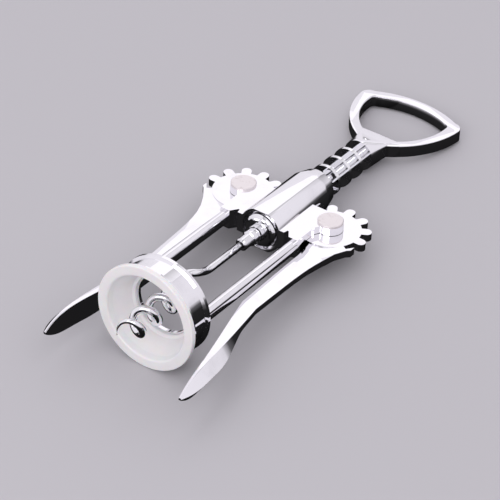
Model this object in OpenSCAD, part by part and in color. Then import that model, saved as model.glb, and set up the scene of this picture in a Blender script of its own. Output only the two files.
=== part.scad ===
// Lever corkscrew with two geared levers and a bottle-opener handle.
// It lies on its side: bell mouth towards -Y, handle towards +Y, levers in a nearly level plane.
// Every sub-part is drawn in the tool's own frame, with the screw axis along Y and the bell's
// mouth at Y = 0, and lay() then tips it so that it rests on the bell's lip and the handle's end.

/* [Bell] */
// Outer radius of the plastic lip that meets the bottle
lip_r = 21; // [20:0.5:25]
// Thickness of the plastic lip
lip_t = 1.8; // [1.2:0.1:2.6]
// Inner radius of the lip at the mouth
mouth_r = 17.2; // [16:0.1:17.6]
// Radius of the ring's front flange
front_flange_r = 20.3; // [19.6:0.1:20.8]
// Thickness of the ring's front flange
front_flange_t = 1.3; // [1:0.1:2]
// Outer radius of the ring between its flanges
waist_r = 18.4; // [18:0.1:19]
// Radius of the ring's rear flange
rear_flange_r = 19.3; // [19:0.1:20.2]
// Thickness of the ring's rear flange
rear_flange_t = 1.3; // [1:0.1:2]
// Depth of the ring behind the lip
ring_depth = 11.2; // [9:0.2:16]
// Wall of the ring
ring_wall = 1.3; // [1:0.1:1.6]
// Thickness of the ring's back wall
back_wall = 1.4; // [1:0.1:2]
// Radius of the hole through the ring's back wall
throat_r = 11.6; // [8:0.1:12]
// Wall of the plastic liner at its narrow end
liner_wall = 1.2; // [0.8:0.1:1.6]
// Gap between the liner and the ring
liner_gap = 0.05; // [0.03:0.01:0.1]

/* [Frame] */
// Length of the legs between the bell and the crosshead
leg_len = 57.2; // [50:0.2:75]
// Distance of each leg's middle from the screw axis
leg_x = 15.4; // [15:0.1:15.8]
// Width of a leg
leg_w = 4.0; // [3:0.1:4.6]
// Height of a leg
leg_h = 5.6; // [4.6:0.1:8]
// Outer radius of the barrel
barrel_r = 9.1; // [8.9:0.1:9.6]
// Height of the barrel's flat top above the screw axis
barrel_flat = 8.3; // [8:0.1:8.6]
// Length of the barrel's full section
barrel_len = 31.3; // [28:0.1:36]
// Length of the barrel's tapered end
barrel_taper = 6; // [4:0.5:8]
// Radius at the end of the barrel's taper
barrel_end_r = 7.6; // [7.5:0.1:8.4]
// Distance of the lever pivots behind the barrel's mouth
pivot_back = 16.7; // [16.4:0.1:20]
// Thickness of the upper ear plates
ear_t = 3; // [2:0.1:3.4]
// Thickness of the lower ear plates
low_ear_t = 1.8; // [1.6:0.1:3]
// Radius of an ear's round end
ear_r = 5.1; // [5:0.1:6]
// Half width of the block in front of the barrel
collar_half_w = 10.5; // [10:0.1:11.5]
// Gap between an ear plate and the lever beside it
ear_gap = 0.15; // [0.1:0.05:0.4]

/* [Rack] */
// Distance from one rack ring to the next
ring_pitch = 7.6; // [7.4:0.05:7.8]
// Radius of the rack rings
rack_r = 6.42; // [6.2:0.02:6.5]
// Thickness of a rack ring
rack_ring_t = 1.5; // [1.2:0.1:1.9]
// Radial clearance of the rack rings in the barrel
rack_fit = 0.08; // [0.04:0.01:0.1]
// Radius of the rack's ribbed core
core_r = 3.85; // [3.5:0.05:3.9]
// Radius of the rack's solid shaft
shaft_r = 2.9; // [2.7:0.1:3.2]
// Thickness of a core rib
rib_t = 1.7; // [1.2:0.1:2.2]
// Whole spaces between the pivots and the first ring outside the barrel
rings_above = 3; // [3:1:3]
// Rings inside the barrel, below the pivots
rings_below = 2; // [1:1:2]
// Gap left between the neck and the barrel at the bottom of the stroke
stroke_gap = 0.5; // [0.4:0.1:2]

/* [Levers] */
// Height of the levers' middle plane from the screw axis
lever_z = -1; // [-1.2:0.1:0]
// Teeth in a full turn of a lever's gear
gear_teeth = 12; // [12:1:12]
// Radius on the rack at which the gears roll
rack_pitch_r = 5.3; // [5.2:0.05:5.5]
// Gap between a tooth's tip and the rack's core
tip_gap = 0.35; // [0.3:0.05:0.8]
// Width of a tooth
tooth_w = 3.9; // [3.4:0.1:4.1]
// Radius of the gear between its teeth
gear_root_r = 11.9; // [11.4:0.1:12.2]
// Thickness of a lever's plate and arm
lever_t = 3.1; // [3:0.1:4.6]
// Distance of the arm's inner edge inside the pivot
arm_in = 1.1; // [0.6:0.1:1.2]
// Width of a lever's arm where the grip begins
arm_w = 6; // [5:0.1:8]
// Width that the arm gains from there to its shoulder
arm_spread = 7.8; // [6:0.1:8.2]
// Drop of the arm from its plate to the grip
arm_drop = 3.2; // [1:0.1:5]
// Slope of the arm's top face, as the difference between its edges
arm_cant = 1.2; // [0:0.1:1.6]
// Width of the strip that slopes along the arm's inner edge
strip_w = 1.7; // [0.5:0.1:2.2]
// Drop of that strip towards the inner edge
strip_drop = 0.5; // [0.2:0.1:1]
// Length of a lever from its pivot to its tip
lever_len = 105.6; // [98:0.2:120]
// Distance of the lever's tip outside the pivot
tip_out = 10; // [8:0.2:14]
// Drop of the lever's tip below the screw axis
tip_drop = 9.5; // [6:0.1:12]
// Length of the leaf-shaped grip
grip_len = 52; // [44:1:60]
// Greatest depth of the grip's lower edge below the screw axis
grip_drop = 13.4; // [10:0.2:14]
// Swell of the grip's outer side, as a share of the grip's depth
grip_swell = 0.35; // [0:0.05:0.45]

/* [Rivets] */
// Radius of a rivet's shank
rivet_r = 2.5; // [2:0.1:3]
// Running clearance of the lever on its rivet
rivet_fit = 0.05; // [0.02:0.01:0.1]
// Radius of a rivet's head
rivet_head_r = 4.9; // [4:0.1:5]
// Thickness of a rivet's head
rivet_head_t = 0.9; // [0.7:0.1:1.6]
// Radius of a rivet's formed end
rivet_tail_r = 4; // [3.4:0.1:5]
// Thickness of a rivet's formed end
rivet_tail_t = 0.9; // [0.6:0.1:1.4]

/* [Handle] */
// Thickness of the opener's bow
bow_t = 5; // [4:0.2:7]
// Length of the bow from its lip to its far edge
bow_len = 30.2; // [28:0.2:38]
// Half width of the bow
bow_half_w = 23; // [20:0.5:28]
// Width of the bow's far side
bow_far_w = 4; // [3:0.1:6]
// Width of the bow's two sides
bow_side_w = 5.4; // [4:0.1:7]
// Half width of the opener's straight lip
opener_half_w = 8; // [6.5:0.5:10]
// Distance from the neck's face to the opener's lip
neck_len = 14.8; // [13:0.2:20]
// Radius of the neck's round face
neck_r = 6.4; // [5.6:0.1:6.4]
// Depth of the rack's spigot in the neck
spigot_len = 7; // [5:0.5:9]
// Gap around a spigot or pin that is assembled and then fixed
seat_gap = 0.04; // [0.03:0.01:0.08]

/* [Worm] */
// Radius of the worm's wire
wire_r = 1.45; // [1.2:0.05:1.6]
// Radius of the helix to the middle of the wire
helix_r = 3.8; // [2.6:0.1:4]
// Pitch of the helix
helix_pitch = 9.2; // [8:0.1:11]
// Distance that the worm's point stands out of the bell
worm_out = 11.4; // [4:0.2:14]
// Length of the helix, from the point to the straight shank
helix_len = 50.9; // [44:0.1:52]
// Length of the bend from the full helix to the axis
bend_len = 12; // [8:0.5:14]
// Turn of the helix at the bell's mouth, from the top towards +X
helix_phase = -35; // [-180:5:180]
// Radius of the ferrule on the shank
ferrule_r = 2.5; // [2.2:0.1:3]
// Length of the ferrule
ferrule_len = 7.5; // [5:0.5:10]
// Radius of the two cross pins
pin_r = 0.8; // [0.6:0.1:1]

/* [Guide washer] */
// Outer radius of the domed washer
washer_r = 6.95; // [6.8:0.05:7.2]
// Length of the washer along the screw axis
washer_len = 2.9; // [2.4:0.1:3.6]
// Depth of the recess in the barrel's mouth
recess_depth = 1.5; // [1:0.1:2.5]
// Gap around the washer in its recess
recess_gap = 0.9; // [0.2:0.1:1]
// Running clearance of the spindle's nose in the washer
nose_fit = 0.06; // [0.03:0.01:0.1]
// Radius of the spindle's nose
nose_r = 3.4; // [3.2:0.1:3.6]
// Length of the nose in front of the washer
nose_out = 3.4; // [2.6:0.1:5]
// Depth of the worm's shank in the nose
shank_in = 8.8; // [6:0.2:12]

/* [Hidden] */
$fn = 96;

chrome = "silver";
cream = "ivory";
rivet_grey = "rosybrown";

// Places along the screw axis, from the bell's mouth
ring_back = lip_t + ring_depth;
barrel_y = ring_back + leg_len;
barrel_full_y = barrel_y + barrel_len;
barrel_top_y = barrel_full_y + barrel_taper;
pivot_y = barrel_y + pivot_back;
recess_y = barrel_y + recess_depth;
washer_back_y = recess_y - 0.1;
washer_front_y = washer_back_y - washer_len;
nose_y = washer_front_y - nose_out;
shoulder_y = washer_back_y + 0.1;
neck_y = pivot_y + (rings_above + 3.5) * ring_pitch - rack_ring_t / 2;
lip_y = neck_y + neck_len;
handle_end_y = lip_y + bow_len;

// Gears and rack
pitch_r = ring_pitch * gear_teeth / (2 * PI);
pivot_x = pitch_r + rack_pitch_r;
tooth_tip_r = pivot_x - core_r - tip_gap;
slot_r = tooth_tip_r + 0.35;
stroke = neck_y - barrel_top_y - stroke_gap;
bore_r = rack_r + rack_fit;

// Heights of the slot between the ears, and of the ears' outer faces, from the screw axis
slot_half = lever_t / 2 + ear_gap;
ear_top = lever_z + slot_half + ear_t;
ear_bottom = lever_z - slot_half - low_ear_t;

// Rest on the lip's rear edge and on the bow's far edge
tilt = atan2(lip_r - bow_t / 2, handle_end_y - lip_t);
rest_z = lip_r * cos(tilt) + lip_t * sin(tilt);
tip_y = pivot_y - lever_len;
far_y = handle_end_y * cos(tilt) + bow_t / 2 * sin(tilt);
near_y = tip_y * cos(tilt) - tip_drop * sin(tilt);
mid_y = (far_y + near_y) / 2;

// Moves a shape from the tool's frame to its place on the ground, with the origin under its middle
module lay() {
    translate([0, -mid_y, rest_z]) rotate([-tilt, 0, 0]) children();
}

// A solid of revolution round the screw axis; profile points are [radius, distance along Y]
module turned(profile) {
    rotate([-90, 0, 0]) rotate_extrude() polygon([for (p = profile) [p[0], p[1]]]);
}

// A plain cylinder along the screw axis from y0 to y1
module rod(r, y0, y1) {
    translate([0, y0, 0]) rotate([-90, 0, 0]) cylinder(r = r, h = y1 - y0);
}

// Points of an arc from angle a0 to a1
function arc(c, r, a0, a1, n) =
    [for (i = [0 : n]) let (a = a0 + (a1 - a0) * i / n) [c[0] + r * cos(a), c[1] + r * sin(a)]];

// Point of a cubic curve through its four control values
function cubic(c, t) =
    c[0] * pow(1 - t, 3) + 3 * c[1] * t * pow(1 - t, 2) + 3 * c[2] * t * t * (1 - t) + c[3] * pow(t, 3);

// Faces of a tube of rows, each a closed ring of n points, with both ends closed
function tube_faces(rows, n) = concat(
    [[for (j = [0 : n - 1]) j]],
    [for (i = [0 : rows - 2], j = [0 : n - 1]) let (
        near = i * n, far = near + n, next = (j + 1) % n)
        each [[near + j, far + j, far + next], [near + j, far + next, near + next]]],
    [[for (j = [n - 1 : -1 : 0]) (rows - 1) * n + j]]);

// ---- Frame casting: bell ring, legs, crosshead with its ears, barrel ----

module bell_ring() {
    inner_r = waist_r - ring_wall;
    turned([
        [inner_r, lip_t], [front_flange_r, lip_t],
        [front_flange_r, lip_t + front_flange_t], [waist_r, lip_t + front_flange_t + 0.8],
        [waist_r, ring_back - rear_flange_t - 0.8], [rear_flange_r, ring_back - rear_flange_t],
        [rear_flange_r, ring_back], [throat_r, ring_back],
        [throat_r, ring_back - back_wall], [inner_r, ring_back - back_wall]]);
}

module leg_profile() {
    straight = leg_h - leg_w;
    square([leg_w, straight], center = true);
    for (s = [-1, 1]) translate([0, s * straight / 2]) circle(d = leg_w);
}

module legs() {
    for (s = [-1, 1])
        translate([s * leg_x, ring_back - back_wall / 2, 0]) rotate([-90, 0, 0])
            linear_extrude(leg_len + back_wall / 2 + 3) leg_profile();
}

// Right half of the crosshead's outline, ending in the ear
module crosshead_half() {
    in_x = leg_x - leg_w / 2;
    out_x = leg_x + leg_w / 2;
    window_y = barrel_y + 1.8;
    corner = 2;
    leg_root_y = window_y - 1.5 * corner;
    rear_y = pivot_y + ear_r;
    polygon([[0, barrel_y], [collar_half_w, barrel_y], [collar_half_w + 0.3, window_y],
             [in_x - corner, window_y], [in_x, leg_root_y], [out_x, leg_root_y],
             [out_x, pivot_y - ear_r - corner], [pivot_x - 1.2, pivot_y - ear_r + 0.2],
             [pivot_x, pivot_y], [pivot_x, rear_y], [0, rear_y]]);
    translate([pivot_x, pivot_y]) circle(r = ear_r);
}

module crosshead() {
    for (s = [0, 1]) mirror([s, 0, 0])
        translate([0, 0, ear_bottom]) linear_extrude(ear_top - ear_bottom) crosshead_half();
}

// Room between the ears for the right lever: its gear, and the whole sweep of its arm
module lever_slot() {
    translate([0, 0, lever_z - slot_half]) linear_extrude(2 * slot_half) {
        translate([pivot_x, pivot_y]) circle(r = slot_r);
        translate([leg_x + leg_w / 2, barrel_y - 1]) square([30, barrel_len + 8]);
        translate([barrel_r, pivot_y]) square([30, barrel_len]);
    }
}

module barrel() {
    intersection() {
        turned([[0, barrel_y], [barrel_r, barrel_y], [barrel_r, barrel_full_y],
                [barrel_end_r, barrel_top_y], [0, barrel_top_y]]);
        translate([-barrel_r - 1, barrel_y - 1, -barrel_flat])
            cube([2 * barrel_r + 2, barrel_len + barrel_taper + 2, 2 * barrel_flat]);
    }
}

module frame_casting() {
    color(chrome) lay() difference() {
        union() {
            bell_ring();
            legs();
            crosshead();
            barrel();
        }
        rod(bore_r, barrel_y - 1, barrel_top_y + 1);
        rod(washer_r + recess_gap, barrel_y - 1, recess_y);
        for (s = [0, 1]) mirror([s, 0, 0]) {
            lever_slot();
            translate([pivot_x, pivot_y, ear_bottom - 1])
                cylinder(r = rivet_r, h = ear_top - ear_bottom + 2);
        }
    }
}

// ---- Bell liner: lip, funnel and throat in one moulding ----

module bell_liner() {
    outer_r = waist_r - ring_wall - liner_gap;
    floor_y = ring_back - back_wall - liner_gap;
    narrow_r = throat_r + 0.7;
    step = 0.9;
    bead = lip_t / 2;
    color(cream) lay() turned(concat(
        arc([mouth_r + bead * 0.6, bead], bead, 180, 270, 8),
        arc([lip_r - bead * 0.5, bead * 0.5], bead * 0.5, -90, 0, 6),
        [[lip_r, lip_t], [outer_r, lip_t], [outer_r, floor_y], [narrow_r, floor_y],
         [narrow_r, floor_y - liner_wall * 0.8], [narrow_r + step, floor_y - liner_wall * 1.4],
         [mouth_r - step, lip_t + step]]));
}

// ---- Levers ----

// One round-ended tooth, pointing away from the gear's middle along X
module tooth() {
    tooth_root = gear_root_r - 1;
    end_x = tooth_tip_r - tooth_w / 2;
    translate([tooth_root, -tooth_w / 2]) square([end_x - tooth_root, tooth_w]);
    translate([end_x, 0]) circle(d = tooth_w);
}

// Outline of the right lever's gear and of the plate that runs into its arm, with a small step
// where the arm's outer side meets the plate
module lever_outline() {
    step = 1.2;
    shoulder = [arm_x_out(arm_from), pivot_y - arm_from];
    translate([pivot_x, pivot_y]) {
        circle(r = gear_root_r);
        for (k = [0 : gear_teeth / 2]) rotate(k * 360 / gear_teeth) tooth();
    }
    polygon([[pivot_x, pivot_y], [pivot_x - arm_in - step / 3, shoulder[1] + step],
             [pivot_x - arm_in, shoulder[1]], shoulder, shoulder + [step, step],
             shoulder + [step, 3 * step], [pivot_x + gear_root_r, pivot_y - gear_root_r * 0.6]]);
}

// The arm starts this far from the pivot, and meets the grip at arm_to
arm_from = 8;
arm_to = lever_len - grip_len;
arm_rows = 12;
grip_rows = 26;
lever_sides = 6;
// The outer side's edge lies at this share of the lever's depth below its top
swell_at = 0.46;

// 0 at the grip and 1 at the shoulder, for a station at distance s from the pivot
function arm_part(s) = (arm_to - s) / (arm_to - arm_from);
function arm_x_out(s) = pivot_x - arm_in + arm_w
    + arm_spread * (0.2 * arm_part(s) + 0.8 * pow(arm_part(s), 6));
// Smooth step from 0 to 1
function ease(t) = let (c = min(1, max(0, t))) c * c * (3 - 2 * c);

// One section of the lever, from the bottom of its inner side round to the top of it. Top and low
// are [inner x, outer x, height]; the strip runs along the inner edge of the top face.
function lever_ring(y, top, low, cant, strip, swell) = let (
    width = top[1] - top[0],
    crease = min(strip_w, width / 2),
    inner_z = top[2] + cant / 2)
    [[low[0], y, low[2]],
     [low[1], y, low[2]],
     [top[1] + swell, y, top[2] + (low[2] - top[2]) * swell_at],
     [top[1], y, top[2] - cant / 2],
     [top[0] + crease, y, inner_z - cant * crease / width],
     [top[0], y, inner_z - strip_drop * strip]];

function arm_section(i) = let (
    s = arm_from + (arm_to - arm_from) * i / arm_rows,
    x_in = pivot_x - arm_in,
    x_out = arm_x_out(s),
    fall = arm_drop * (0.5 * ease((s - arm_from) / 10) + 0.5 * (1 - arm_part(s))),
    z_top = lever_z + lever_t / 2 - fall)
    lever_ring(pivot_y - s, [x_in, x_out, z_top], [x_in, x_out, z_top - lever_t],
               arm_cant * ease((s - arm_from) / 20), 0.2 + 0.8 * ease((s - arm_from) / 12), 0);

// The grip at t from 0 at the arm to 1 at the tip: a blade that hangs below its top face, with an
// upright inner side, and an outer side that slopes out to its widest edge
function grip_section(i) = let (
    t = 1 - pow(1 - i / grip_rows, 1.4),
    x_in = pivot_x + cubic([-arm_in, -arm_in + 3.9, tip_out - 1.1, tip_out - 0.4], t),
    x_out = pivot_x + cubic([arm_w - arm_in, arm_w - arm_in + 2.6, tip_out - 0.2, tip_out + 0.4], t),
    z_arm = lever_z + lever_t / 2 - arm_drop,
    z_top = z_arm - (tip_drop - 0.5 + z_arm) * (0.2 * t + 0.8 * pow(t, 8)),
    deep = pow(sin(90 * min(1, t / 0.62)), 2),
    end = pow(max(0, t - 0.78) / 0.22, 2.5),
    z_low = (z_arm - lever_t) * (1 - deep) - grip_drop * deep + (grip_drop - tip_drop - 0.5) * end,
    half = (x_out - x_in) / 2,
    low_half = half + (0.5 - half) * deep,
    low_mid = (x_in + x_out) / 2 - (half - 0.9) * deep * (1 - t) * 0.8)
    lever_ring(tip_y + grip_len * (1 - t), [x_in, x_out, z_top],
               [low_mid - low_half, low_mid + low_half, z_low],
               arm_cant * (1 - t), 1 - 0.7 * t, grip_swell * (z_top - z_low) * deep);

module arm_and_grip() {
    polyhedron(
        points = concat([for (i = [0 : arm_rows - 1]) each arm_section(i)],
                        [for (i = [0 : grip_rows]) each grip_section(i)]),
        faces = tube_faces(arm_rows + grip_rows + 1, lever_sides));
}

module lever() {
    difference() {
        union() {
            translate([0, 0, lever_z - lever_t / 2]) linear_extrude(lever_t) lever_outline();
            arm_and_grip();
        }
        translate([pivot_x, pivot_y, lever_z - lever_t])
            cylinder(r = rivet_r + rivet_fit, h = 2 * lever_t);
    }
}

module right_lever() {
    color(chrome) lay() lever();
}

module left_lever() {
    color(chrome) lay() mirror([1, 0, 0]) lever();
}

// ---- Rivets: flat head on top, shank through both ears, formed end below ----

module rivet(side) {
    edge = 0.25;
    color(rivet_grey) lay() translate([side * pivot_x, pivot_y, 0]) rotate_extrude() polygon([
        [0, ear_bottom - rivet_tail_t], [rivet_tail_r - 0.5, ear_bottom - rivet_tail_t],
        [rivet_tail_r, ear_bottom], [rivet_r, ear_bottom], [rivet_r, ear_top],
        [rivet_head_r, ear_top], [rivet_head_r, ear_top + rivet_head_t - edge],
        [rivet_head_r - edge, ear_top + rivet_head_t], [0, ear_top + rivet_head_t]]);
}

module left_rivet() {
    rivet(-1);
}

module right_rivet() {
    rivet(1);
}

// ---- Guide washer on the spindle's nose ----

module guide_washer() {
    hole_r = nose_r + nose_fit;
    dome = washer_r - hole_r - 0.6;
    color(chrome) lay() turned(concat(
        [[hole_r, washer_back_y], [washer_r, washer_back_y], [washer_r, washer_back_y - 0.8]],
        [for (a = [15 : 15 : 90]) [washer_r - dome * (1 - cos(a)),
                                   washer_back_y - 0.8 - (washer_len - 0.8) * sin(a)]],
        [[hole_r, washer_front_y]]));
}

// ---- Rack spindle: nose, ringed and ribbed rack, spigot in the neck ----

module core_section() {
    circle(r = shaft_r);
    intersection() {
        circle(r = core_r);
        for (a = [0, 90]) rotate(a) square([2 * core_r, rib_t], center = true);
    }
}

module rack_spindle() {
    color(chrome) lay() difference() {
        union() {
            rod(nose_r, nose_y, shoulder_y + 1);
            rod(core_r, shoulder_y, shoulder_y + 1.5);
            translate([0, shoulder_y, 0]) rotate([-90, 0, 0])
                linear_extrude(neck_y - shoulder_y) core_section();
            for (k = [-rings_below : rings_above + 2])
                translate([0, pivot_y + (k + 0.5) * ring_pitch, 0]) rotate([-90, 0, 0])
                    cylinder(r = rack_r, h = rack_ring_t, center = true);
            rod(shaft_r, neck_y - 1, neck_y + spigot_len);
        }
        rod(wire_r + seat_gap, nose_y - 1, nose_y + shank_in + 0.2);
        translate([0, nose_y + nose_out / 2, 0]) cylinder(r = pin_r, h = 4 * nose_r, center = true);
        translate([0, neck_y + spigot_len * 0.6, 0])
            cylinder(r = pin_r, h = 4 * nose_r, center = true);
    }
}

// ---- Opener handle: neck and bow ----

// Outline of the bow, or of the opening in it, from the lip's level round to the far side
module bow_outline(half_w, near_half, near_y, far_y, corner) {
    corner_x = half_w - corner;
    corner_y = far_y - half_w * 0.2 - corner;
    far_r = (corner_x * corner_x + pow(half_w * 0.2, 2)) / (2 * half_w * 0.2);
    far_a = asin(corner_x / far_r);
    side = [half_w - near_half, corner_y - near_y];
    side_len = norm(side);
    bulge = side_len * 0.12;
    side_r = (side_len * side_len / 4 + bulge * bulge) / (2 * bulge);
    side_half = asin(side_len / 2 / side_r);
    side_dir = atan2(side[1], side[0]);
    mid = [(half_w + near_half) / 2, (corner_y + near_y) / 2];
    c = mid + (side_r - bulge) * [-sin(side_dir), cos(side_dir)];
    right = concat(
        arc(c, side_r, side_dir - 90 - side_half, side_dir - 90 + side_half, 12),
        arc([corner_x, corner_y], corner, 12, 90 - far_a, 6),
        arc([0, far_y - far_r], far_r, 90 - far_a, 90, 10));
    left = [for (i = [len(right) - 2 : -1 : 0]) [-right[i][0], right[i][1]]];
    polygon(concat(right, left));
}

module neck() {
    hull() {
        rod(neck_r, neck_y, neck_y + rack_ring_t, $fn = 48);
        translate([-neck_r - 0.6, lip_y - 3.4, -bow_t / 2]) cube([2 * neck_r + 1.2, 1, bow_t]);
    }
}

module opener_handle() {
    color(chrome) lay() difference() {
        union() {
            neck();
            translate([0, 0, -bow_t / 2]) linear_extrude(bow_t) difference() {
                bow_outline(bow_half_w, neck_r + 0.6, lip_y - 5.6, handle_end_y, 4.2);
                bow_outline(bow_half_w - bow_side_w, opener_half_w, lip_y,
                            handle_end_y - bow_far_w, 2.2);
            }
        }
        rod(shaft_r + seat_gap, neck_y - 1, neck_y + spigot_len + 0.2);
        translate([0, neck_y + spigot_len * 0.6, 0])
            cylinder(r = pin_r, h = 4 * neck_r, center = true);
    }
}

// ---- Pins through the neck and through the nose ----

module handle_pin() {
    pin_y = neck_y + spigot_len * 0.6;
    reach = neck_r - 1.4;
    color(chrome) lay() translate([0, pin_y, -reach]) cylinder(r = pin_r, h = 2 * reach);
}

module worm_pin() {
    color(chrome) lay() translate([0, nose_y + nose_out / 2, -nose_r])
        cylinder(r = pin_r, h = 2 * nose_r);
}

// ---- Worm: tapered point, right-handed helix, bend to the axis, straight shank ----

wire_sides = 12;
helix_steps = 22;
helix_rows = round(helix_len / helix_pitch * helix_steps);

// How far a point at distance y from the bell's mouth is through the bend, from 0 to 1
bend_y = helix_len - worm_out - bend_len;
function bend_part(y) = min(1, max(0, (y - bend_y) / bend_len));

// Turn of the wire round the axis. The winding stops soon after the bend begins.
bend_stop = 9;
function worm_turn(y) = helix_phase + 360 / helix_pitch
    * (min(y, bend_y) + bend_len * (1 - pow(1 - bend_part(y), bend_stop)) / bend_stop);

// Middle of the wire at distance y from the bell's mouth
function worm_mid(y) = let (
    r = helix_r * (1 + cos(180 * bend_part(y))) / 2,
    a = worm_turn(y))
    [r * sin(a), y, r * cos(a)];

function worm_radius(y) = let (t = min(1, (y + worm_out) / (helix_pitch * 0.62)))
    wire_r * max(0.12, 1 - pow(1 - t, 1.6));

function worm_ring(y) = let (
    d = worm_mid(y + 0.05) - worm_mid(y - 0.05),
    f = d / norm(d),
    a = worm_turn(y),
    u0 = cross(f, [sin(a), 0, cos(a)]),
    u = u0 / norm(u0),
    s = cross(u, f))
    [for (j = [0 : wire_sides - 1]) let (b = 360 * j / wire_sides)
        worm_mid(y) + worm_radius(y) * (s * cos(b) + u * sin(b))];

// The last ring of the helix, moved along the axis: the straight shank
function shank_ring(y) = [for (q = worm_ring(helix_len - worm_out + 0.3)) [q[0], y, q[2]]];

module worm() {
    color(chrome) lay() difference() {
        polyhedron(
            points = concat(
                [for (i = [0 : helix_rows]) each worm_ring(-worm_out + helix_len * i / helix_rows)],
                shank_ring(nose_y + shank_in)),
            faces = tube_faces(helix_rows + 2, wire_sides));
        translate([0, nose_y + nose_out / 2, 0]) cylinder(r = pin_r, h = 4 * nose_r, center = true);
    }
}

module worm_ferrule() {
    chamfer = 0.5;
    front_y = nose_y - ferrule_len;
    color(chrome) lay() turned([
        [wire_r + seat_gap, front_y], [ferrule_r - chamfer, front_y], [ferrule_r, front_y + chamfer],
        [ferrule_r, nose_y - ferrule_len * 0.35], [ferrule_r + 0.5, nose_y - ferrule_len * 0.3],
        [ferrule_r + 0.5, nose_y], [wire_r + seat_gap, nose_y]]);
}

frame_casting();
bell_liner();
left_lever();
right_lever();
left_rivet();
right_rivet();
guide_washer();
rack_spindle();
opener_handle();
handle_pin();
worm();
worm_ferrule();
worm_pin();
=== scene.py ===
# %% [markdown]
# # A lever corkscrew, dressed around its CAD frame
# The real tool is a die casting plated with chrome: a bell that sits on the bottle, two legs, and a
# crosshead that carries two geared levers. A turned rack runs through it, with an opener on one end
# and a worm on the other. The CAD model already has every piece in its place, and moves it. This
# lesson gives each piece the soft edges and the finish of the real one.

# %% Load the fixed frame
import math

import bmesh
import bpy
from mathutils import Matrix, Vector


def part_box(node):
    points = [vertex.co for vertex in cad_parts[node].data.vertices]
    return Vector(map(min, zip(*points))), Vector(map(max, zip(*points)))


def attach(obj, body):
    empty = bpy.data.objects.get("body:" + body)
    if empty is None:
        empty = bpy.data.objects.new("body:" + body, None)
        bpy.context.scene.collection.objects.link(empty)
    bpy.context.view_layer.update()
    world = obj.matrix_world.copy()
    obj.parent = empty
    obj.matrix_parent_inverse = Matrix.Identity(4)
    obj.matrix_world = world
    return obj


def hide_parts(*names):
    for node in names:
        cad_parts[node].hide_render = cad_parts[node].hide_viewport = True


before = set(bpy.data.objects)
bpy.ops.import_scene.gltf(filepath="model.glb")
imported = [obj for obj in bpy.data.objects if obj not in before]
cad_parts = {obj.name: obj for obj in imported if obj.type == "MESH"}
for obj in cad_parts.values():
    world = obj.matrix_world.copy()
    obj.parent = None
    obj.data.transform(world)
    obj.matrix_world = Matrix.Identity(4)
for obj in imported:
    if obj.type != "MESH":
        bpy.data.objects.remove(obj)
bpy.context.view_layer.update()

# %% [markdown]
# ## The tool's own directions
# The corkscrew lies on a table, so its axis is tipped by a few degrees. Two cross pins sit exactly on
# that axis, one in the neck and one in the spindle's nose, and their middles give its direction. From
# them comes one matrix that turns "so far to the side, so far from the bell's mouth, so far up" into
# a place on the table. The worm and the camera are placed with it, and the directions that it is made
# of find the edges that are rounded on the other pieces.

# %% Find the axis
MM = 0.001
WORM_PIN_FROM_MOUTH = 67.0 * MM


def middle(node):
    low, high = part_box(node)
    return (low + high) / 2


rear_pin, front_pin = middle("handle_pin"), middle("worm_pin")
axis = (rear_pin - front_pin).normalized()
side = Vector((1, 0, 0))
up = side.cross(axis)
mouth = front_pin - axis * WORM_PIN_FROM_MOUTH
TOOL = Matrix((side, axis, up)).transposed().to_4x4()
TOOL.translation = mouth
print("bell mouth at", tuple(round(c / MM, 2) for c in mouth), "mm, axis", tuple(axis))

# %% [markdown]
# ## A small way to write shaders
# A material is a graph, but a graph is slow to read. One class wraps a socket, so that an expression
# such as 0.3 + 0.1 * mask adds its own Math nodes, and one method adds any other node. Numbers stay
# numbers until they meet a socket. The same method builds the materials and the room.

# %% The socket wrapper
class Socket:
    def __init__(self, graph, out):
        self.graph, self.out = graph, out

    def _math(self, operation, a, b):
        return self.graph.add("ShaderNodeMath", {"operation": operation}, {0: a, 1: b})

    def __add__(self, other):
        return self._math("ADD", self, other)

    def __radd__(self, other):
        return self._math("ADD", other, self)

    def __mul__(self, other):
        return self._math("MULTIPLY", self, other)

    def __rmul__(self, other):
        return self._math("MULTIPLY", other, self)


class Graph:
    """A node tree, and a method that adds nodes to it."""

    def __init__(self, tree):
        self.tree = tree

    def add(self, kind, settings=None, inputs=None, output=0):
        node = self.tree.nodes.new(kind)
        for key, value in (settings or {}).items():
            if key == "stops":
                self._set_stops(node.color_ramp.elements, value)
            else:
                setattr(node, key, value)
        for socket, value in (inputs or {}).items():
            self.link(value, node.inputs[socket])
        return Socket(self, node.outputs[output])

    def link(self, value, socket):
        if isinstance(value, Socket):
            self.tree.links.new(value.out, socket)
        else:
            socket.default_value = value

    @staticmethod
    def _set_stops(elements, stops):
        while len(elements) < len(stops):
            elements.new(0.5)
        for element, (place, shade) in zip(elements, stops):
            element.position, element.color = place, shade


class Shader(Graph):
    """One material, and the Principled shader that its graph ends in."""

    def __init__(self, name, **constants):
        self.material = bpy.data.materials.new(name)
        self.material.use_nodes = True
        super().__init__(self.material.node_tree)
        self.surface = self.tree.nodes["Principled BSDF"]
        for socket, value in constants.items():
            self.set(socket.replace("_", " "), value)

    def set(self, socket, value):
        self.link(value, self.surface.inputs[socket])


# %% [markdown]
# ## The finishes
# Chrome plate is a mirror with a faint cool tint. It is never a perfect mirror: polishing leaves a
# slight waviness a few millimetres long, and handling leaves soft smudges, where it is a little
# darker and rougher. Both come from noise on Object coordinates, in metres, so they keep their size
# on every piece. The waviness goes through a Bump node, because the real surface is uneven there, and
# the smudges go to the colour and to Roughness.

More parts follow.
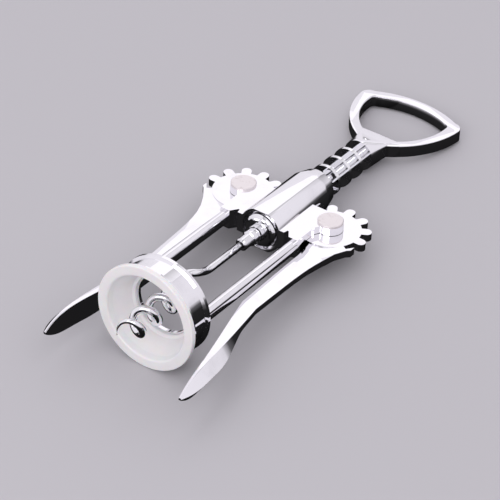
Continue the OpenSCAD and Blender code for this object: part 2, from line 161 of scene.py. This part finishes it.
# %% Noise at a real size
def noise(shader, size, detail=3.0):
    where = shader.add("ShaderNodeTexCoord", output="Object")
    return shader.add("ShaderNodeTexNoise", {}, {
        "Vector": where, "Scale": 1 / size, "Detail": detail, "Roughness": 0.55})


def between(shader, mask, low, high):
    """Spreads the part of a mask from low to high over 0 to 1, softly."""
    return shader.add("ShaderNodeMapRange", {"interpolation_type": "SMOOTHSTEP"}, {
        "Value": mask, "From Min": low, "From Max": high, "To Min": 0.0, "To Max": 1.0})


def blend_colours(shader, factor, a, b):
    return shader.add("ShaderNodeMix", {"data_type": "RGBA"}, {
        "Factor": factor, "A": (*a, 1), "B": (*b, 1)}, output="Result")


def uneven(shader, height, depth, strength=1.0):
    """Makes the surface look uneven: the height runs from 0 to 1, over a real depth."""
    shader.set("Normal", shader.add("ShaderNodeBump", {}, {
        "Height": height, "Strength": strength, "Distance": depth}))


# %% Chrome plate
SMUDGE_SIZE, HAZE_SIZE = 11.0 * MM, 0.9 * MM
HAZE_ROUGH = 0.02


def chrome(name, clean, dull, rough, smudged_rough, wave, wave_depth):
    shader = Shader(name, Metallic=1.0)
    smudges = between(shader, noise(shader, SMUDGE_SIZE, 4.0), 0.48, 0.72)
    haze = noise(shader, HAZE_SIZE, 2.0)
    shader.set("Base Color", blend_colours(shader, smudges, clean, dull))
    shader.set("Roughness", rough + smudged_rough * smudges + HAZE_ROUGH * haze)
    uneven(shader, noise(shader, wave, 1.0), wave_depth)
    print("finish", name)
    return shader.material


casting_chrome = chrome("casting_chrome", clean=(0.92, 0.91, 0.94), dull=(0.86, 0.85, 0.88),
                        rough=0.02, smudged_rough=0.06, wave=7.0 * MM, wave_depth=0.03 * MM)
steel_chrome = chrome("steel_chrome", clean=(0.90, 0.90, 0.92), dull=(0.83, 0.83, 0.85),
                      rough=0.03, smudged_rough=0.05, wave=3.0 * MM, wave_depth=0.01 * MM)

# %% [markdown]
# The rivets are bare metal, rolled and pressed flat. They look faintly pink beside the chrome, and
# are dull, with fine lines in one direction from rolling. The liner is a warm white plastic that
# scatters light inside it, so it looks soft in the throat.

# %% Rivet metal
LINE_SIZE, LINE_SQUEEZE = 2.5 * MM, 14
SPOT_SIZE = 1.6 * MM
FAINT_DEPTH = 0.01 * MM


def rivet_finish():
    shader = Shader("rivet_metal", Metallic=1.0)
    where = shader.add("ShaderNodeTexCoord", output="Object")
    rolled = shader.add("ShaderNodeMapping", {}, {"Vector": where, "Scale": (1, LINE_SQUEEZE, 1)})
    lines = shader.add("ShaderNodeTexNoise", {}, {
        "Vector": rolled, "Scale": 1 / LINE_SIZE, "Detail": 3.0})
    spots = between(shader, noise(shader, SPOT_SIZE), 0.55, 0.75)
    shader.set("Base Color", blend_colours(shader, spots, (0.88, 0.83, 0.83), (0.78, 0.72, 0.72)))
    shader.set("Roughness", 0.38 + 0.16 * lines)
    uneven(shader, lines, FAINT_DEPTH, strength=0.6)
    return shader.material


rivet_metal = rivet_finish()
print("finish rivet_metal")

# %% Liner plastic
TINT_SIZE, SHEEN_SIZE, GRAIN_SIZE = 9.0 * MM, 1.2 * MM, 0.6 * MM
SCATTER_DEPTH = 1.5 * MM


def liner_finish():
    shader = Shader("liner_plastic", Subsurface_Weight=0.25, Subsurface_Scale=SCATTER_DEPTH,
                    Coat_Weight=0.15, Coat_Roughness=0.2)
    tint = between(shader, noise(shader, TINT_SIZE), 0.35, 0.7)
    shader.set("Base Color", blend_colours(shader, tint, (0.97, 0.945, 0.94), (0.93, 0.91, 0.905)))
    shader.set("Roughness", 0.30 + 0.12 * noise(shader, SHEEN_SIZE))
    uneven(shader, noise(shader, GRAIN_SIZE, 2.0), FAINT_DEPTH, strength=0.3)
    return shader.material


liner_plastic = liner_finish()
print("finish liner_plastic")

# %% [markdown]
# ## Edges
# No plated casting has a knife edge: it is tumbled before it is plated, and the rounded edge catches
# a thin line of light. The CAD edges are sharp. A piece whose shape is right otherwise is copied from
# its CAD node: the copy's loose triangles are merged, flat faces are joined again, and a Bevel
# modifier rounds what is sharper than a set angle.

# %% Finish a piece
def finished(name, mesh, finish, body, stands_for):
    """Makes the object of a finished piece, in place, and hides the CAD node that it stands for."""
    mesh.shade_smooth()
    piece = bpy.data.objects.new(name, mesh)
    bpy.context.scene.collection.objects.link(piece)
    piece.data.materials.clear()
    piece.data.materials.append(finish)
    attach(piece, body)
    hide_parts(stands_for)
    print(f"{name}: {len(mesh.polygons)} faces")
    return piece


def ease_edges(piece, width, over_deg=28, segments=3):
    """Rounds every edge of a piece that turns by more than an angle."""
    bevel = piece.modifiers.new("eased edges", "BEVEL")
    bevel.width = width
    bevel.segments = segments
    bevel.limit_method = "ANGLE"
    bevel.angle_limit = math.radians(over_deg)
    bevel.use_clamp_overlap = True
    bevel.harden_normals = True


# %% Copy a CAD node
SAME_POINT = 0.002 * MM
SAME_PLANE = math.radians(0.6)


def merged_copy(node):
    """The node's mesh with its loose triangles merged and its flat faces joined again."""
    form = bmesh.new()
    form.from_mesh(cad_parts[node].data)
    bmesh.ops.remove_doubles(form, verts=form.verts, dist=SAME_POINT)
    bmesh.ops.dissolve_limit(form, angle_limit=SAME_PLANE, verts=form.verts, edges=form.edges)
    form.normal_update()
    return form


def to_mesh(form, name):
    """Turns a form into a mesh, without the CAD's own normals, which no longer fit it."""
    mesh = bpy.data.meshes.new(name)
    form.to_mesh(mesh)
    form.free()
    if "custom_normal" in mesh.attributes:
        mesh.attributes.remove(mesh.attributes["custom_normal"])
    return mesh


# %% [markdown]
# ## The frame casting
# The bell's ring, the legs, the crosshead and the barrel are one casting. The rim of the barrel
# stands out as a bright circle round the dark gap at its mouth, because it was rounded more than the
# plates, and so was the front of the crosshead beside it. So these edges are rounded first, and the
# rest of the casting gets its thin eased edges after. How squarely a face looks along a direction is
# a cosine, which is 1 when it looks straight along it.

# %% Round the barrel's rim and the crosshead's front
RIM_FROM_PIN = 3.2 * MM
RIM_INSIDE, RIM_OUTSIDE = 7.5 * MM, 9.3 * MM
RIM_RADIUS = 0.55 * MM
FRONT_LENGTH, FRONT_RADIUS = 2.5 * MM, 1.1 * MM
NEAR = 0.1 * MM
SHARP = math.radians(60)
SQUARELY, ROUGHLY = 0.99, 0.9


def halfway(edge):
    return (edge.verts[0].co + edge.verts[1].co) / 2


def round_edges(form, edges, radius, segments):
    bmesh.ops.bevel(form, geom=edges, offset=radius, offset_type="OFFSET", affect="EDGES",
                    segments=segments, profile=0.5, material=-1, clamp_overlap=True)


def rim_edges(form):
    """Sharp edges round the axis, at the barrel's mouth."""
    chosen = []
    for edge in form.edges:
        offset = halfway(edge) - front_pin
        along = offset.dot(axis)
        out = (offset - axis * along).length
        sharp = len(edge.link_faces) == 2 and edge.calc_face_angle() > SHARP
        if abs(along - RIM_FROM_PIN) < NEAR and RIM_INSIDE < out < RIM_OUTSIDE and sharp:
            chosen.append(edge)
    return chosen


def front_edges(form):
    """Edges between the crosshead's top face and the walls in front of it, beside the barrel."""
    chosen = []
    for edge in form.edges:
        along = (halfway(edge) - front_pin).dot(axis)
        beside_rim = RIM_FROM_PIN - NEAR < along < RIM_FROM_PIN + FRONT_LENGTH
        if not beside_rim or len(edge.link_faces) != 2:
            continue
        normals = [face.normal for face in edge.link_faces]
        meets_top = max(normal.dot(up) for normal in normals) > SQUARELY
        meets_front = min(normal.dot(axis) for normal in normals) < -ROUGHLY
        if meets_top and meets_front:
            chosen.append(edge)
    return chosen


def frame_casting():
    form = merged_copy("frame_casting")
    for what, find, radius in (("rim", rim_edges, RIM_RADIUS), ("front", front_edges, FRONT_RADIUS)):
        edges = find(form)
        round_edges(form, edges, radius, segments=4)
        print(what, "edges rounded:", len(edges))
    return to_mesh(form, "frame_casting_plated")


ease_edges(finished("frame_casting_plated", frame_casting(), casting_chrome, "frame",
                    "frame_casting"), 0.35 * MM)

# %% Ease the edges of the levers and the rack
EASED_WIDTH = 0.45 * MM
EASED = (("left_lever", "left_lever", casting_chrome, "chrome_casting"),
         ("right_lever", "right_lever", casting_chrome, "chrome_casting"),
         ("rack_spindle", "screw", steel_chrome, "chrome_steel"))
for node, body, finish, record_slot in EASED:
    mesh = to_mesh(merged_copy(node), node + "_plated")
    ease_edges(finished(mesh.name, mesh, finish, body, node), EASED_WIDTH)

# %% [markdown]
# ## The opener's bow
# A hand pulls on the bow, so its outer side is well rounded, while the opening keeps a small chamfer
# that bites under a bottle cap. One Bevel modifier would round both alike. Here the edges between
# the bow's flat faces and its walls are sorted by which way their wall looks, outwards or towards the
# opening, and each group gets its own radius.

# %% Sort and round the bow's edges
BOW_MIDDLE_FROM_PIN = 24.0 * MM
BOW_STARTS_FROM_PIN = 8.0 * MM
OUTER_RADIUS, OPENING_CHAMFER = 1.7 * MM, 0.6 * MM
HARDLY = 0.3


def bow_edges(form, outwards):
    """Edges between a flat face of the bow and a wall that looks outwards, or into the opening."""
    bow_middle = rear_pin + axis * BOW_MIDDLE_FROM_PIN
    chosen = []
    for edge in form.edges:
        centre = halfway(edge)
        if len(edge.link_faces) != 2 or (centre - rear_pin).dot(axis) < BOW_STARTS_FROM_PIN:
            continue
        flat, wall = sorted(edge.link_faces, key=lambda face: -abs(face.normal.dot(up)))
        if abs(flat.normal.dot(up)) < SQUARELY or abs(wall.normal.dot(up)) > HARDLY:
            continue
        if (wall.normal.dot(centre - bow_middle) > 0) == outwards:
            chosen.append(edge)
    return chosen


def opener_handle():
    form = merged_copy("opener_handle")
    for outwards, radius, segments in ((True, OUTER_RADIUS, 6), (False, OPENING_CHAMFER, 2)):
        edges = bow_edges(form, outwards)
        round_edges(form, edges, radius, segments)
        print("bow edges rounded:", len(edges))
    return to_mesh(form, "opener_handle_plated")


ease_edges(finished("opener_handle_plated", opener_handle(), casting_chrome, "screw",
                    "opener_handle"), 0.4 * MM, over_deg=40, segments=2)

# %% [markdown]
# ## The worm
# The worm is round wire wound on a mandrel, ground to a point, and bent to the axis at the other
# end. A screw-like spin makes the coil: one ring of edges, tipped square to the wire's path, goes
# round the axis and moves along it a little at each step. Then each ring is moved and turned onto the
# real wire's path, which bends to the axis, and is shrunk at the point.

# %% The worm's path
WIRE_RADIUS, COIL_RADIUS, COIL_PITCH = 1.45 * MM, 3.8 * MM, 9.2 * MM
POINT_OUT, COIL_LENGTH, BEND_LENGTH = 11.4 * MM, 50.9 * MM, 12.0 * MM
COIL_END = COIL_LENGTH - POINT_OUT
BEND_FROM = COIL_END - BEND_LENGTH
SHANK_END = 73.0 * MM
PHASE = math.radians(-35)
WINDING_STOP = 9
POINT_LENGTH, BLUNT_POINT, POINT_CURVE = COIL_PITCH * 0.62, 0.12, 1.6


def coil_place(distance):
    """The middle of an endless coil's wire, at a distance from the bell's mouth."""
    turn = math.tau * distance / COIL_PITCH + PHASE
    return Vector((COIL_RADIUS * math.sin(turn), distance, COIL_RADIUS * math.cos(turn)))


def wire_place(distance):
    """The middle of the real wire: its winding stops soon after the bend to the axis begins."""
    part = min(1, max(0, (distance - BEND_FROM) / BEND_LENGTH))
    wound = min(distance, BEND_FROM) + BEND_LENGTH * (1 - (1 - part) ** WINDING_STOP) / WINDING_STOP
    turn = math.tau * wound / COIL_PITCH + PHASE
    reach = COIL_RADIUS * (1 + math.cos(math.pi * part)) / 2
    return Vector((reach * math.sin(turn), distance, reach * math.cos(turn)))


def thickness(distance):
    """How thick the wire is, as a part of its full thickness: it runs out to a blunt point."""
    part = min(1, (distance + POINT_OUT) / POINT_LENGTH)
    return max(BLUNT_POINT, 1 - (1 - part) ** POINT_CURVE)


def direction_of(place, distance, step=0.05 * MM):
    return (place(distance + step) - place(distance - step)).normalized()


print("worm: coil of", round(COIL_LENGTH / COIL_PITCH, 2), "turns,", round(POINT_OUT / MM, 1), "mm out")

# %% Wind the worm
RING_SIDES, STEPS_IN_A_TURN = 20, 36


def spun_coil(form, steps):
    """Spins a coil of even wire along the y axis, and returns its rings from the point on."""
    ring = bmesh.ops.create_circle(form, cap_ends=False, radius=WIRE_RADIUS,
                                   segments=RING_SIDES)["verts"]
    square_on = direction_of(coil_place, -POINT_OUT).to_track_quat("Z", "Y").to_matrix()
    bmesh.ops.transform(form, matrix=square_on, verts=ring)
    bmesh.ops.translate(form, vec=coil_place(-POINT_OUT), verts=ring)
    bmesh.ops.spin(form, geom=form.edges[:], cent=(0, 0, 0), axis=(0, 1, 0), steps=steps,
                   dvec=(0, COIL_LENGTH / steps, 0), angle=math.tau * COIL_LENGTH / COIL_PITCH,
                   use_merge=False, use_duplicate=False)
    form.verts.ensure_lookup_table()
    return [form.verts[i * RING_SIDES:(i + 1) * RING_SIDES] for i in range(steps + 1)]


def worm():
    form = bmesh.new()
    steps = round(COIL_LENGTH / COIL_PITCH * STEPS_IN_A_TURN)
    rings = spun_coil(form, steps)
    for index, ring in enumerate(rings):
        distance = -POINT_OUT + COIL_LENGTH * index / steps
        wanted = direction_of(wire_place, distance) if index < steps else Vector((0, 1, 0))
        turn = direction_of(coil_place, distance).rotation_difference(wanted)
        bmesh.ops.transform(form, verts=ring, matrix=(
            Matrix.Translation(wire_place(distance)) @ turn.to_matrix().to_4x4()
            @ Matrix.Scale(thickness(distance), 4) @ Matrix.Translation(-coil_place(distance))))
    rim = [e for e in form.edges if e.is_boundary and all(v in rings[-1] for v in e.verts)]
    grown = bmesh.ops.extrude_edge_only(form, edges=rim)["geom"]
    bmesh.ops.translate(form, vec=(0, SHANK_END - COIL_END, 0),
                        verts=[v for v in grown if isinstance(v, bmesh.types.BMVert)])
    bmesh.ops.holes_fill(form, edges=[e for e in form.edges if e.is_boundary], sides=0)
    bmesh.ops.recalc_face_normals(form, faces=form.faces)
    bmesh.ops.transform(form, matrix=TOOL, verts=form.verts)
    return to_mesh(form, "worm_wire")


finished("worm_wire", worm(), steel_chrome, "screw", "worm")

# %% [markdown]
# ## Pieces that keep their CAD shape
# The rivets, the guide washer, the pins, the ferrule and the liner were turned or moulded with the
# very profile that the CAD has. They keep it, and only take a finish.

# %% Finish the turned pieces
KEPT = {"bell_liner": liner_plastic, "left_rivet": rivet_metal, "right_rivet": rivet_metal,
        "guide_washer": steel_chrome, "handle_pin": steel_chrome, "worm_pin": steel_chrome,
        "worm_ferrule": steel_chrome}
for node, finish in KEPT.items():
    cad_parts[node].material_slots[0].material = finish
print("kept CAD pieces:", ", ".join(KEPT))

# %% [markdown]
# ## The table and the light
# Chrome has no colour of its own, so it looks like what stands around it. The room is plain: white
# from the tool's own level up, which the top faces mirror, and nearly black below it, which draws the
# sides. A grey band starts sharply near the middle and fades out to one side, as the edge of a screen
# would, and draws the round side of the barrel. The floor is plain and pale to the eye, but the metal
# doesn't mirror it, so the sides stay dark.

# %% Floor
FLOOR_SIDE = 6.0
bpy.ops.mesh.primitive_plane_add(size=FLOOR_SIDE)
floor = bpy.context.object
floor.name = "floor"
paint = Shader("floor_paint", Roughness=0.6)
paint.set("Base Color", (0.55, 0.54, 0.56, 1))
floor.data.materials.append(paint.material)
floor.visible_glossy = False
print("floor", FLOOR_SIDE, "m wide")

# %% Room
UPWARD_SHADES = ((0.00, 0.008), (0.38, 0.02), (0.445, 0.12), (0.48, 0.50), (0.50, 0.78), (0.58, 0.86),
                 (1.00, 0.93))
SIDEWAYS_SHADES = ((0.000, 1.0), (0.452, 1.0), (0.460, 0.42), (0.640, 0.95), (1.000, 1.0))
ROOM_LEAN = math.radians(7)
COOL_TINT = (1, 0.985, 1.015)
world = bpy.data.worlds.new("room")
bpy.context.scene.world = world
world.use_nodes = True
room = Graph(world.node_tree)


def room_shade(part, shades):
    """A row of greys for one part of the direction, which runs from -1 to 1."""
    stops = [(place, (*(shade * tint for tint in COOL_TINT), 1)) for place, shade in shades]
    return room.add("ShaderNodeValToRGB", {"stops": stops}, {"Fac": part * 0.5 + 0.5})


direction = room.add("ShaderNodeMapping", {}, {
    "Vector": room.add("ShaderNodeTexCoord", output="Generated"), "Rotation": (0, ROOM_LEAN, 0)})
upward = room.add("ShaderNodeSeparateXYZ", {}, {0: direction}, output="Z")
sideways = room.add("ShaderNodeSeparateXYZ", {}, {0: direction}, output="X")
room_light = room.add("ShaderNodeVectorMath", {"operation": "MULTIPLY"}, {
    0: room_shade(upward, UPWARD_SHADES), 1: room_shade(sideways, SIDEWAYS_SHADES)})
room.link(room_light, room.tree.nodes["Background"].inputs["Color"])
print("room:", len(UPWARD_SHADES), "greys upward and", len(SIDEWAYS_SHADES), "sideways")


# %% Panels
def panel(name, place, aim, width, height, power):
    """A soft rectangular light at a place, turned to a point; sizes in metres, power in watts."""
    lamp = bpy.data.lights.new(name, "AREA")
    lamp.shape, lamp.size, lamp.size_y = "RECTANGLE", width, height
    lamp.energy = power
    holder = bpy.data.objects.new(name, lamp)
    bpy.context.scene.collection.objects.link(holder)
    holder.location = place
    holder.rotation_euler = (Vector(aim) - Vector(place)).to_track_quat("-Z", "Y").to_euler()


panel("rear panel", (-0.55, 1.05, 1.0), (0, 0, 0), 1.6, 0.8, 0.9)
panel("front panel", (0.15, -1.3, 0.9), (0, 0, 0.02), 1.2, 0.7, 5.0)

# %% [markdown]
# ## The camera
# The camera looks down at about 35 degrees from in front of the bell, a little to the right of it,
# with a long lens, so that the tool lies across the frame from corner to corner. Its place is given in
# the tool's own frame, and the tool's matrix puts it in the room.

# %% Camera
AZIMUTH, ELEVATION, ROLL = math.radians(33.9), math.radians(35.25), math.radians(3.05)
DISTANCE = 964 * MM
AIM = Vector((4.385, 57.6, 0)) * MM
SENSOR_MM, LENS_MM = 36.0, 189.792
NEAREST, FARTHEST = 0.05, 20

back = Vector((math.sin(AZIMUTH) * math.cos(ELEVATION), -math.cos(AZIMUTH) * math.cos(ELEVATION),
               math.sin(ELEVATION)))
level_right = Vector((math.cos(AZIMUTH), math.sin(AZIMUTH), 0))
level_up = back.cross(level_right)
camera_right = math.cos(ROLL) * level_right + math.sin(ROLL) * level_up
camera_up = -math.sin(ROLL) * level_right + math.cos(ROLL) * level_up
placed = Matrix((camera_right, camera_up, back)).transposed().to_4x4()
placed.translation = AIM + back * DISTANCE
lens = bpy.data.cameras.new("camera")
lens.sensor_width, lens.lens = SENSOR_MM, LENS_MM
lens.clip_start, lens.clip_end = NEAREST, FARTHEST
camera = bpy.data.objects.new("camera", lens)
bpy.context.scene.collection.objects.link(camera)
camera.matrix_world = TOOL @ placed
bpy.context.scene.camera = camera
print("lens", round(lens.lens, 1), "mm")

# %% [markdown]
# ## The view
# Colours are shown with the Standard view transform, and the last line brings the scene up to date.

# %% Set the view transform
bpy.context.scene.view_settings.view_transform = "Standard"
bpy.context.view_layer.update()
